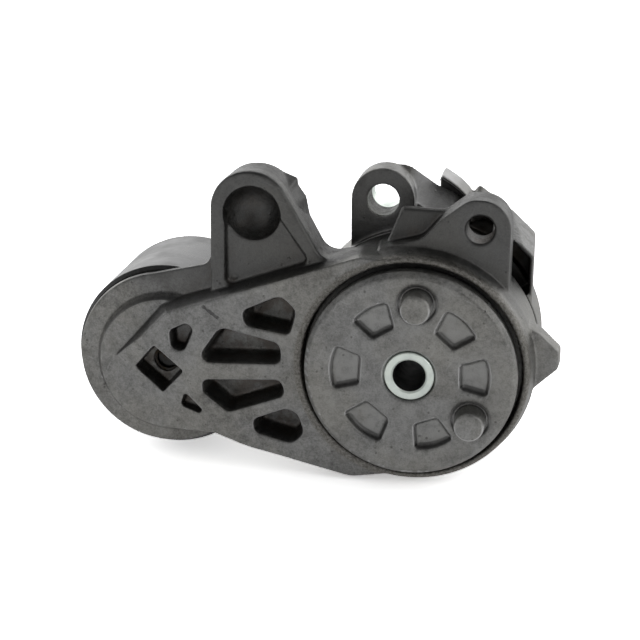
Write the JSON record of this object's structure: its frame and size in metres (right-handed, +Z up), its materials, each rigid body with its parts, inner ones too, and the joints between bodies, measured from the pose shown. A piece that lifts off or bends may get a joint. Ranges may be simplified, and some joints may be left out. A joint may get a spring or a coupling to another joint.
{
  "type": "automatic belt tensioner with idler pulley",
  "caption": "Sprung automatic belt tensioner: cast arm turning on a bolted cast base, with a flat idler pulley on ball bearings.",
  "frame": {"origin": "on the arm's pivot axis, in the plane of the rear mounting face", "axes": "+Z up, +X to the right seen from the front, front is -Y; the pivot and pulley axes run along Y"},
  "size_m": [0.1899, 0.0755, 0.1188],
  "materials": {
    "cast_housing": "as cast, fine sand texture",
    "cast_arm": "as cast, fine sand texture",
    "cast_cap": "as cast, slightly polished",
    "zinc_steel": "bright zinc plating",
    "bearing_steel": "ground",
    "spring_steel": "oiled, oxide black",
    "black_steel": "black oxide",
    "pulley_steel": "smooth turned running surface, black edges",
    "friction_polymer": "moulded friction lining",
    "bush_polymer": "moulded",
    "cage_polymer": "moulded nylon",
    "seal_rubber": "moulded"
  },
  "bodies": {
    "base": {"base_housing": "cast_housing", "pivot_sleeve": "zinc_steel", "front_cap": "cast_cap", "preload_spring": "spring_steel", "friction_ring": "friction_polymer", "torsion_spring": "spring_steel", "spring_seat": "bush_polymer", "rear_thrust_washer": "bush_polymer", "ring_dowel": "zinc_steel", "locating_pin": "bearing_steel"},
    "arm": {"tensioner_arm": "cast_arm", "front_pivot_bush": "bush_polymer", "rear_pivot_bush": "bush_polymer", "bearing_sleeve": "zinc_steel", "bearing_inner_ring": "bearing_steel", "front_dust_shield": "zinc_steel", "rear_dust_shield": "zinc_steel", "bolt_washer": "zinc_steel", "pulley_bolt": "black_steel"},
    "pulley": {"pulley_shell": "pulley_steel", "bearing_outer_ring": "bearing_steel", "front_bearing_seal": "seal_rubber", "rear_bearing_seal": "seal_rubber", "retaining_ring": "spring_steel"},
    "ball_set": {"front_balls": "bearing_steel", "rear_balls": "bearing_steel", "front_ball_cage": "cage_polymer", "rear_ball_cage": "cage_polymer"}
  },
  "joints": [
    {"name": "arm_pivot", "type": "hinge", "parent": "base", "child": "arm", "pos_m": [0, 0, 0], "axis": [0, 1, 0], "range_deg": [0, 28], "stiffness_Nm_per_rad": 30, "deforming": ["torsion_spring"]},
    {"name": "pulley_spin", "type": "hinge", "parent": "arm", "child": "pulley", "pos_m": [-0.098, -0.016, -0.006], "axis": [0, 1, 0], "continuous": true},
    {"name": "ball_set_spin", "type": "hinge", "parent": "arm", "child": "ball_set", "pos_m": [-0.098, -0.016, -0.006], "axis": [0, 1, 0], "continuous": true}
  ],
  "couplings": [
    {"joint": "ball_set_spin", "follows": "pulley_spin", "ratio": 0.6297}
  ]
}
